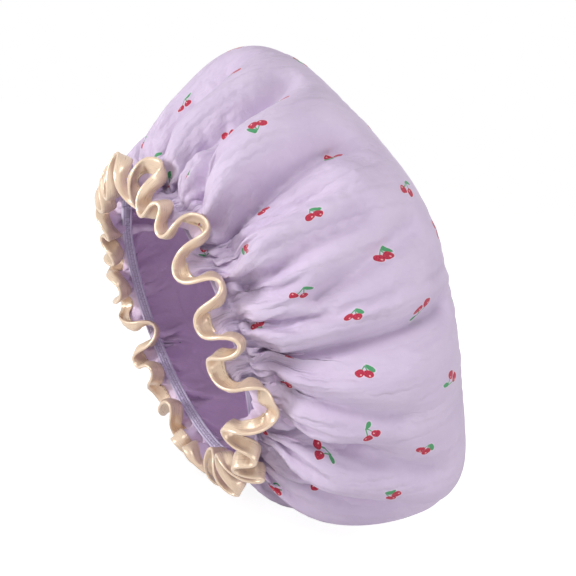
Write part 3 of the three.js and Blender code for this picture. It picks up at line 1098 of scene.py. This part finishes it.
    @staticmethod
    def pull(
        points: Array, i: Array, j: Array, length: Array, only_short: bool
    ) -> tuple[Array, Array]:
        """The move that brings each pair to its length.

        Args:
            points: The cloth's points.
            i: The first point of each pair.
            j: The second point of each pair.
            length: The length of each pair.
            only_short: True where a longer pair is left as it is.

        Returns:
            The move of each first point, and 1 for each pair that moves.
        """
        gap = points[j] - points[i]
        now = np.linalg.norm(gap, axis=1) + TINY
        off = now - length
        if only_short:
            off = np.minimum(off, 0.0)
        return (0.5 * off / now)[:, None] * gap, (off != 0).astype(float)

    def along_ring(self, shape: Array, ring: int, angle: Array) -> Array:
        """Points on one ring of the cloth, on a smooth curve through its own points.

        Args:
            shape: The cloth's points.
            ring: Which ring.
            angle: Angles of the flat cloth.

        Returns:
            The points.
        """
        own = shape[self.cloth.ring_points(ring)]
        count = len(own)
        place = angle / TURN * count - 0.5 * (ring % 2)
        base = np.floor(place).astype(int)
        t = (place - base)[:, None]
        before, here, there, after = (own[(base + k) % count] for k in (-1, 0, 1, 2))
        slope_here, slope_there = (there - before) / 2, (after - here) / 2
        bend = 3 * (there - here) - 2 * slope_here - slope_there
        twist = 2 * (here - there) + slope_here + slope_there
        return here + t * (slope_here + t * (bend + t * twist))

    def near_rim(self, angle: Array, inset: float) -> Array:
        """Points a way in from the raw edge, along the cloth.

        Args:
            angle: Angles of the flat cloth.
            inset: How far in from the edge.

        Returns:
            The points.
        """
        t = inset / self.cloth.step
        edge, first, second, third = (self.along_ring(self.shape, self.rings - k, angle) for k in range(4))
        outer = edge * (1 - t) * (2 - t) * (3 - t) / 6 + first * t * (2 - t) * (3 - t) / 2
        return outer + second * t * (t - 1) * (3 - t) / 2 + third * t * (t - 1) * (t - 2) / 6


def make_piece(name: str, points: Array, faces: list, lie: CapFrame) -> Piece:
    """Makes a piece's object and lays it in the row frame.

    Args:
        name: The piece's name.
        points: Its points in the cap's own frame.
        faces: Its faces.
        lie: Where the cap lies.

    Returns:
        The new object, riding on the cap's body.
    """
    mesh = bpy.data.meshes.new(name)
    mesh.from_pydata(lie.laid(points).tolist(), [], faces)
    mesh.shade_smooth()
    mesh.update()
    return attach(placed(name, mesh), BODY)


def mark_places(piece: Piece, name: str, first: Array, second: Array) -> None:
    """Keeps each point's place on the flat material, for the material's nodes.

    Args:
        piece: The piece.
        name: The attribute's name.
        first: Each point's place along the material, in millimetres.
        second: Its place across the material, or its angle round a thread.
    """
    places = np.stack([first, second, 0 * first], -1).astype(np.float32)
    held = piece.data.attributes.new(name, "FLOAT_VECTOR", "POINT")
    held.data.foreach_set("vector", places.ravel())


def dress_piece(piece: Piece, material: Material, node: str) -> None:
    """Gives a piece its finish and hides the solid that it stands for.

    Args:
        piece: The piece.
        material: Its material.
        node: The solid that it replaces.
    """
    piece.data.materials.append(material)
    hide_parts(node)


def loop_faces(stations: int, size: int, closed: bool) -> list[tuple[int, ...]]:
    """Faces along a run of sections.

    Args:
        stations: How many sections there are.
        size: How many points each section has.
        closed: True where the last section meets the first, False where each end has a face.

    Returns:
        The faces.
    """
    made = []
    for i in range(stations if closed else stations - 1):
        here, there = i * size, (i + 1) % stations * size
        for k in range(size):
            turn = (k + 1) % size
            made.append((here + k, there + k, there + turn, here + turn))
    if not closed:
        made.append(tuple(range(size)))
        made.append(tuple(reversed(range((stations - 1) * size, stations * size))))
    return made


@dataclass
class GatheredLayer:
    """A layer that was cut as a flat round and is gathered on the elastic."""

    gathered: GatheredCloth
    finish: PrintedCotton | LiningFilm
    name: str
    node: str
    slot: Slot

    def shape(self) -> Array:
        """The layer's points."""
        return self.gathered.shape

    def build(self) -> Piece:
        """Makes the layer, its triangles rounded by one level of subdivision."""
        cloth = self.gathered.cloth
        piece = make_piece(self.name, self.shape(), cloth.triangles.tolist(), self.gathered.lie)
        mark_places(piece, "flat", *cloth.points.T)
        drape = piece.modifiers.new("drape", "SUBSURF")
        drape.levels = drape.render_levels = 1
        return piece

    def dress(self, piece: Piece) -> None:
        """Finishes the layer and hides the solid that it stands for."""
        dress_piece(piece, self.finish.material(), self.node)


@dataclass
class PrintedShell(GatheredLayer):
    """The outer round of printed cotton."""

    finish: PrintedCotton = PrintedCotton()
    name: str = "cotton_shell"
    node: str = "printed_shell"
    slot: Slot = Slot.COTTON


@dataclass
class WaterproofLining(GatheredLayer):
    """The inner round of film, smoother than the cotton and sewn to it at the elastic."""

    finish: LiningFilm = LiningFilm()
    name: str = "film_lining"
    node: str = "waterproof_lining"
    slot: Slot = Slot.FILM
    layer_gap: float = 0.45
    inside_gap: float = 2.2
    span_share: float = 0.015
    joins: Pair = (1.4, 1.8)

    def eased_depth(self, depth: Array) -> Array:
        """The inner envelope of one ring's folds.

        Args:
            depth: How far out each point of the cotton's ring lies.

        Returns:
            A smooth line that stays inside it.
        """
        half = max(1, int(self.span_share * len(depth)))
        near = range(-half, half + 1)
        least = np.min([np.roll(depth, k) for k in near], axis=0)
        return np.mean([np.roll(least, k) for k in near], axis=0)

    def shape(self) -> Array:
        """The film's points: inside the cotton's folds over the dome, along it from the elastic on."""
        gathered, cloth = self.gathered, self.gathered.cloth
        cotton, angle = gathered.shape, cloth.angle
        sewn = cotton - self.layer_gap * gathered.normals(cotton)
        mean = polar(gathered.mean_radius, angle, gathered.mean_height)
        mean[:, 0] += gathered.slump * gathered.fading(1.0)
        runs, first = np.arange(gathered.rings + 1), np.array(cloth.starts)
        slope_r = np.gradient(gathered.mean_radius[first], runs)[cloth.ring]
        slope_w = np.gradient(gathered.mean_height[first], runs)[cloth.ring]
        off = unit(polar(-slope_w, angle, slope_r))
        film = sewn.copy()
        film[0] = cotton[0] - self.inside_gap * off[0]
        for ring in range(1, gathered.seat_ring):
            at = cloth.ring_points(ring)
            depth = np.einsum("ij,ij->i", cotton[at] - mean[at], off[at])
            film[at] = mean[at] + (self.eased_depth(depth) - self.inside_gap)[:, None] * off[at]
        share = smooth_between(gathered.stage, *self.joins)[:, None]
        return film * (1 - share) + sewn * share


@dataclass
class ElasticBand:
    """The ribbed elastic inside the gathers, lapped where its ends are tacked together."""

    lie: CapFrame
    finish: RibbedElastic = RibbedElastic()
    node: str = "elastic_band"
    radius: float = 80.0
    width: float = 6.0
    thickness: float = 1.0
    ribs: int = 4
    rib_relief: float = 0.28
    lap_length: float = 14.0
    lap_ramp: float = 10.0
    lap_angle: float = 2.2
    lap_gap: float = 0.3
    stations: int = 260
    rib_points: int = 12
    edge_round: float = 0.35
    edge_from: float = 0.46

    def outline(self) -> Array:
        """The section: flat towards the lining, ribbed towards the head. Depth first, then height."""
        across = np.linspace(0.5, -0.5, self.rib_points * self.ribs + 1)
        relief = self.rib_relief * (0.5 + 0.5 * np.cos(TURN * self.ribs * (across + 0.5)))
        rounded = self.edge_round * smooth_between(np.abs(across), self.edge_from, 0.5)
        ribbed = np.stack([self.thickness - relief - rounded, across * self.width], 1)
        flat = np.array([[0.0, -0.5], [0.0, 0.0], [0.0, 0.5]]) * [1.0, self.width]
        return np.concatenate([flat, ribbed])

    def rise(self, angle: Array) -> Array:
        """How far the upper end is lifted over the lower one, from 0 to 1, at an angle from its start."""
        return smooth_between(angle, TURN - self.lap_ramp / self.radius, TURN)

    def inner_radius(self, angle: Array) -> Array:
        """Where the inner face lies at an angle from the lap's start.

        Args:
            angle: Angles from the lap's start.

        Returns:
            The radius.
        """
        ramp, lap = self.lap_ramp / self.radius, self.lap_length / self.radius
        past = np.mod(angle + TURN / 2, TURN) - TURN / 2
        lifted = np.minimum(smooth_between(past, -ramp, 0.0), 1 - smooth_between(past, lap, lap + ramp))
        return self.radius - self.thickness - lifted * (self.thickness + self.lap_gap)

    def build(self) -> Piece:
        """Makes the lapped band."""
        outline = self.outline()
        angle = np.linspace(0.0, TURN + self.lap_length / self.radius, self.stations)
        face = self.radius - self.rise(angle) * (self.thickness + self.lap_gap)
        radius = face[:, None] - outline[None, :, 0]
        height = np.broadcast_to(outline[None, :, 1], radius.shape)
        points = polar(radius, (angle + self.lap_angle)[:, None], height).reshape(-1, 3)
        faces = loop_faces(self.stations, len(outline), False)
        piece = make_piece("ribbed_elastic", points, faces, self.lie)
        mark_places(piece, "band", np.broadcast_to((angle * self.radius)[:, None], radius.shape), height)
        return piece

    def dress(self, piece: Piece) -> None:
        """Finishes the elastic."""
        dress_piece(piece, self.finish.material(), self.node)


@dataclass
class SatinBinding:
    """The satin tape folded over the raw edges of both layers."""

    gathered: GatheredCloth
    finish: ChampagneSatin = ChampagneSatin()
    node: str = "satin_binding"
    # The width on each side of the cloth, the levels off it and the tape's thickness.
    width: float = 8.8
    back_width: float = 8.3
    face_off: float = 0.65
    back_off: float = -1.40
    tape: float = 0.30
    # The seam near the inner edge, and the fold round the raw edges.
    seam_inset: float = 1.3
    seam_sink: float = 0.20
    sink_half: float = 0.7
    stitch_pitch: float = 2.7
    fold_reach: float = 0.75
    fold_turns: tuple[float, ...] = (0.25, 0.5, 0.75)
    # The rows of points.
    stations: int = 900
    near_edge: float = 0.22
    before_seam: float = 0.9
    after_seam: float = 0.6
    row_passes: int = 2
    # What is found from these.
    angle: Array = field(init=False)
    rows: dict[float, Array] = field(init=False)
    down: Array = field(init=False)
    off: Array = field(init=False)
    length: float = field(init=False)
    run: Array = field(init=False)

    def __post_init__(self) -> None:
        """Finds the rim's stations, and the ways down and off the cloth at each."""
        self.angle = np.arange(self.stations) * TURN / self.stations
        self.rows = {inset: self.row(inset) for inset in self.insets()}
        edge, lip = self.rows[0.0], self.rows[self.width]
        self.down = unit(edge - lip)
        ahead = np.roll(edge, -1, 0) - np.roll(edge, 1, 0) + np.roll(lip, -1, 0) - np.roll(lip, 1, 0)
        self.off = unit(np.cross(self.down, unit(ahead)))
        steps = loop_steps(self.rows[self.width / 2])
        self.length = float(steps.sum())
        self.run = np.concatenate([[0.0], np.cumsum(steps)[:-1]])

    @property
    def seam_place(self) -> float:
        """How far in from the edge the seam runs."""
        return self.width - self.seam_inset

    def insets(self) -> list[float]:
        """Distances in from the edge at which the tape has a row of points."""
        seam, near = self.seam_place, self.width * self.near_edge
        return [0.0, near, self.width / 2, seam - self.before_seam, seam, seam + self.after_seam, self.width]

    def row(self, inset: float) -> Array:
        """A smooth row of points round the rim, a way in from the edge."""
        return eased_loop(self.gathered.near_rim(self.angle, inset), self.row_passes)

    def off_at(self, inset: float, level: float) -> float:
        """How far the tape lies off the cloth, with its dip along the seam."""
        dip = self.seam_sink * math.exp(-((inset - self.seam_place) / self.sink_half) ** 2)
        return level - math.copysign(dip, level)

    def at(self, inset: float, level: float) -> Array:
        """Points round the rim at a distance in from the edge and a level off the cloth."""
        return self.rows[inset] + level * self.off

    def section(self) -> list[tuple[Array, float]]:
        """The tape's section round the rim, as rows of points with their place across the tape."""
        insets, edge = self.insets(), self.rows[0.0]
        fold = 2 * self.fold_reach
        middle = (self.face_off + self.back_off) / 2
        half = (self.face_off - self.back_off) / 2
        outer = [(self.at(s, self.off_at(s, self.face_off)), -s) for s in reversed(insets)]
        for turn in self.fold_turns:
            bend = math.pi * turn
            point = edge + self.fold_reach * math.sin(bend) * self.down
            outer.append((point + (middle + half * math.cos(bend)) * self.off, fold * turn))
        outer += [(self.at(s, self.off_at(s, self.back_off)), fold + s) for s in insets]
        inner = [(self.at(s, self.off_at(s, self.back_off) + self.tape), fold + s) for s in reversed(insets)]
        nose = edge + (self.fold_reach - self.tape) * self.down + middle * self.off
        inner.append((nose, self.fold_reach))
        inner += [(self.at(s, self.off_at(s, self.face_off) - self.tape), -s) for s in insets]
        return outer + inner

    def build(self) -> Piece:
        """Makes the folded tape."""
        section = self.section()
        points = np.stack([row for row, _ in section], 1)
        size = len(section)
        faces = [face[::-1] for face in loop_faces(self.stations, size, True)]
        piece = make_piece("satin_binding_tape", points.reshape(-1, 3), faces, self.gathered.lie)
        across = np.broadcast_to(np.array([place for _, place in section]), (self.stations, size))
        mark_places(piece, "tape", np.broadcast_to(self.run[:, None], across.shape), across)
        return piece

    def seam(self, level: float) -> tuple[Array, Array]:
        """Points along the seam on one side of the tape, a stitch apart, with the way off the tape.

        Args:
            level: The side's level off the cloth.

        Returns:
            The points and the ways off.
        """
        line = self.at(self.seam_place, self.off_at(self.seam_place, level))
        run = np.concatenate([[0.0], np.cumsum(loop_steps(line))])
        count = int(run[-1] / self.stitch_pitch)
        place = np.arange(count) * run[-1] / count

        def at_stitches(values: Array) -> Array:
            """Values round the rim, read at each stitch."""
            closed = np.concatenate([values, values[:1]])
            return np.stack([np.interp(place, run, closed[:, k]) for k in range(3)], 1)

        return at_stitches(line), unit(at_stitches(self.off * math.copysign(1.0, level)))

    def dress(self, piece: Piece) -> None:
        """Finishes the tape and hides the solid that it stands for."""
        dress_piece(piece, self.finish.material(), self.node)


@dataclass
class Stitching:
    """Rows of single stitches, each a short strand that dips into the cloth at both ends.

    A strand has sections, each at a share of its length, with its size and its rise in strand radii.
    """

    lie: CapFrame
    binding: SatinBinding
    elastic: ElasticBand
    strand_radius: float = 0.2
    strand_sides: int = 6
    zigzags: int = 130
    zigzag_width: float = 4.0
    tack_legs: int = 14
    tack_length: float = 8.0
    gap_share: float = 0.12
    cotton_lift: float = 0.1
    cotton_share: float = 0.42
    sections: tuple[Triple, ...] = (
        (0.0, 0.45, -1.6),
        (0.09, 0.95, 0.1),
        (0.5, 1.0, 0.55),
        (0.91, 0.95, 0.1),
        (1.0, 0.45, -1.6),
    )

    def strands(self, name: str, starts: Array, ends: Array, off: Array) -> Piece:
        """Makes a row of stitches.

        Args:
            name: The piece's name.
            starts: Where each stitch comes up.
            ends: Where it goes down.
            off: The way off the cloth at each.

        Returns:
            The new piece.
        """
        run = ends - starts
        across = unit(np.cross(run, off))
        lift = unit(np.cross(across, run))
        length = np.linalg.norm(run, axis=1)
        turns = [TURN * k / self.strand_sides for k in range(self.strand_sides)]
        rows, places = [], []
        for share, scale, rise in self.sections:
            middle = starts + share * run + rise * self.strand_radius * lift
            for turn in turns:
                side = math.cos(turn) * lift + math.sin(turn) * across
                rows.append(middle + scale * self.strand_radius * side)
                places.append(share * length)
        points = np.stack(rows, 1)
        count, size = points.shape[:2]
        one = loop_faces(len(self.sections), self.strand_sides, False)
        faces = [tuple(i * size + k for k in face) for i in range(count) for face in one]
        piece = make_piece(name, points.reshape(-1, 3), faces, self.lie)
        turned = np.broadcast_to(turns * len(self.sections), (count, size))
        mark_places(piece, "strand", np.stack(places, 1), turned)
        return piece

    def seam_row(
        self, name: str, spots: Array, off: Array, closed: bool = True
    ) -> Piece:
        """Makes the stitches between neighbouring points of a row.

        Args:
            name: The piece's name.
            spots: The needle's points, on the cloth.
            off: The way off the cloth at each point.
            closed: True where the row runs all round.

        Returns:
            The new piece.
        """
        there, turned = np.roll(spots, -1, 0), unit(off + np.roll(off, -1, 0))
        if not closed:
            spots, there, turned = spots[:-1], there[:-1], turned[:-1]
        run = there - spots
        return self.strands(name, spots + self.gap_share * run, there - self.gap_share * run, turned)

    def swing(self, leg: Array) -> Array:
        """The height of the needle's points in a zigzag, up and down in turn."""
        return 0.5 * self.zigzag_width * np.where(leg % 2 == 0, 1.0, -1.0)

    def zigzag(self, inside: bool) -> tuple[Array, Array]:
        """The needle's points of the zigzag that sews the elastic down.

        Args:
            inside: True for the thread on the elastic, False for the one on the cotton.

        Returns:
            The points and the way off the cloth at each.
        """
        gathered = self.binding.gathered
        count = 2 * self.zigzags
        angle = np.arange(count) * TURN / count
        height = self.swing(np.arange(count))
        if inside:
            radius = self.elastic.inner_radius(angle - self.elastic.lap_angle)
            facing = -1.0
        else:
            radius = gathered.seat_radius + gathered.fine_wave(angle) + self.cotton_lift
            height = self.cotton_share * height
            facing = 1.0
        return polar(radius, angle, height), polar(facing, angle, 0 * angle)

    def tack(self) -> tuple[Array, Array]:
        """The needle's points of the tack across the elastic's lapped ends."""
        elastic = self.elastic
        leg = np.arange(self.tack_legs + 1)
        along = (elastic.lap_length - self.tack_length) / 2 + self.tack_length * leg / self.tack_legs
        angle = elastic.lap_angle + along / elastic.radius
        radius = elastic.inner_radius(along / elastic.radius) - 2 * self.strand_radius
        return polar(radius, angle, self.swing(leg)), polar(-1.0, angle, 0 * angle)

    def build(self) -> dict[str, Piece]:
        """Makes every row of stitches, by the solid that it stands for."""
        face, back = (self.binding.seam(off) for off in (self.binding.face_off, self.binding.back_off))
        return {
            "binding_face_thread": self.seam_row("binding_face_stitches", *face),
            "binding_back_thread": self.seam_row("binding_back_stitches", *back),
            "elastic_zigzag_thread": self.seam_row("elastic_zigzag_stitches", *self.zigzag(True)),
            "gather_seam_thread": self.seam_row("gather_seam_stitches", *self.zigzag(False)),
            "elastic_join_tack": self.seam_row("elastic_tack_stitches", *self.tack(), closed=False),
        }

    def dress(self, pieces: dict[str, Piece]) -> None:
        """Finishes the stitches in the colour of the cloth that they sew."""
        finishes = {tone: SewingThread(tone).material() for tone in ThreadTone}
        for node, piece in pieces.items():
            tone = ThreadTone.CHAMPAGNE if node.startswith("binding") else ThreadTone.LILAC
            dress_piece(piece, finishes[tone], node)


@dataclass(frozen=True)
class SoftLamp:
    """A square lamp, with its place and side in metres and its power in watts."""

    name: str
    place: Triple
    side: float
    power: float

    def hang(self, target: Vector) -> None:
        """Hangs the lamp so that it faces the target."""
        light = bpy.data.lights.new(self.name, "AREA")
        light.size, light.energy = self.side, self.power
        holder = placed(self.name, light)
        holder.location = self.place
        holder.rotation_mode = "QUATERNION"
        holder.rotation_quaternion = (target - Vector(self.place)).to_track_quat("-Z", "Y")


@dataclass
class Studio:
    """A plain pale floor, soft lamps and the camera."""

    azimuth: float = math.radians(-28.9)
    elevation: float = math.radians(8.5)
    roll: float = math.radians(13.9)
    lens: float = 70.0
    sensor: float = 36.0
    distance: float = 0.620
    target: Triple = (0.0, 0.0, 0.115)
    pan: Pair = (0.012, 0.001)
    floor_size: float = 8.0
    floor_colour: Colour = (0.86, 0.86, 0.86)
    floor_rough: float = 0.9
    floor_glow: float = 1.62
    floor_glow_share: float = 0.55
    world_strength: float = 0.43
    lamps: tuple[SoftLamp, ...] = (
        SoftLamp("key_lamp", (-0.56, -0.60, 0.90), 0.30, 4.2),
        SoftLamp("low_lamp", (0.45, -0.95, 0.04), 0.45, 4.0),
        SoftLamp("mouth_lamp", (-1.00, 0.14, 0.02), 0.30, 8.5),
        SoftLamp("crown_lamp", (0.90, 0.60, 0.50), 0.45, 1.8),
    )

    def build_camera(self) -> None:
        """Places the camera at the photograph's viewing angle."""
        a, e = self.azimuth, self.elevation
        back = Vector((math.sin(a) * math.cos(e), -math.cos(a) * math.cos(e), math.sin(e)))
        level = Vector((math.cos(a), math.sin(a), 0.0))
        rise = back.cross(level)
        right = level * math.cos(self.roll) + rise * math.sin(self.roll)
        up = back.cross(right)
        camera = bpy.data.cameras.new("camera")
        camera.lens, camera.sensor_width = self.lens, self.sensor
        holder = placed("camera", camera)
        turn = Matrix((right, up, back)).transposed().to_4x4()
        turn.translation = Vector(self.target) + back * self.distance + right * self.pan[0] + up * self.pan[1]
        holder.matrix_world = turn
        bpy.context.scene.camera = holder

    @staticmethod
    def shown_white(tree: bpy.types.NodeTree) -> Socket:
        """1 for the rays that show the white surroundings, seen directly, in a gloss or through glass."""
        path = tree.nodes.new("ShaderNodeLightPath")
        total = path.outputs["Is Camera Ray"]
        for name in ("Is Glossy Ray", "Is Transmission Ray"):
            joined = tree.nodes.new("ShaderNodeMath")
            joined.operation = "MAXIMUM"
            tree.links.new(total, joined.inputs[0])
            tree.links.new(path.outputs[name], joined.inputs[1])
            total = joined.outputs[0]
        return total

    def build_floor(self) -> None:
        """Lays the pale floor, which keeps the cap's soft shadow."""
        half = self.floor_size / 2
        mesh = bpy.data.meshes.new("floor")
        corners = [(-half, -half, 0.0), (half, -half, 0.0), (half, half, 0.0), (-half, half, 0.0)]
        mesh.from_pydata(corners, [], [(0, 1, 2, 3)])
        floor = placed("floor", mesh)
        graph = NodeGraph("pale_floor")
        graph.feed(graph.shader.inputs["Base Color"], self.floor_colour)
        graph.feed(graph.shader.inputs["Roughness"], self.floor_rough)
        glow = graph.node("ShaderNodeEmission")
        blend = graph.node("ShaderNodeMixShader")
        glow.inputs["Strength"].default_value = self.floor_glow
        share = graph.maths("MULTIPLY", self.shown_white(graph.tree), self.floor_glow_share)
        graph.feed(blend.inputs[0], share)
        graph.tree.links.new(graph.shader.outputs[0], blend.inputs[1])
        graph.tree.links.new(glow.outputs[0], blend.inputs[2])
        graph.tree.links.new(blend.outputs[0], graph.tree.nodes["Material Output"].inputs[0])
        mesh.materials.append(graph.material)

    def build_world(self) -> None:
        """Sets the white surroundings and the even light that they give."""
        world = bpy.data.worlds.new("studio")
        world.use_nodes = True
        tree = world.node_tree
        strength = tree.nodes.new("ShaderNodeMapRange")
        tree.links.new(self.shown_white(tree), strength.inputs[0])
        strength.inputs["To Min"].default_value = self.world_strength
        strength.inputs["To Max"].default_value = 1.0
        background = tree.nodes["Background"]
        background.inputs[0].default_value = (1.0, 1.0, 1.0, 1.0)
        tree.links.new(strength.outputs[0], background.inputs[1])
        bpy.context.scene.world = world

    def build(self) -> None:
        """Sets up the camera, lamps, floor and surroundings."""
        bpy.context.scene.view_settings.view_transform = "Standard"
        self.build_camera()
        for lamp in self.lamps:
            lamp.hang(Vector(self.target))
        self.build_floor()
        self.build_world()


def main() -> None:
    """Builds the studio and every piece of the cap."""
    logging.basicConfig(level=logging.INFO, format="%(name)s: %(message)s")
    Studio().build()
    lie = CapFrame.from_elastic("elastic_band")
    gathered = GatheredCloth(lie)
    LOG.info("cloth relaxed, flat radius %.1f mm", gathered.cloth.radius)
    binding = SatinBinding(gathered)
    elastic = ElasticBand(lie)
    for part in (PrintedShell(gathered), WaterproofLining(gathered), elastic, binding):
        piece = part.build()
        part.dress(piece)
        LOG.info("%s: %d points", piece.name, len(piece.data.vertices))
    LOG.info("bound rim %.0f mm", binding.length)
    stitching = Stitching(lie, binding, elastic)
    rows = stitching.build()
    stitching.dress(rows)
    for piece in rows.values():
        LOG.info("%s: %d points", piece.name, len(piece.data.vertices))


if __name__ == "__main__":
    main()
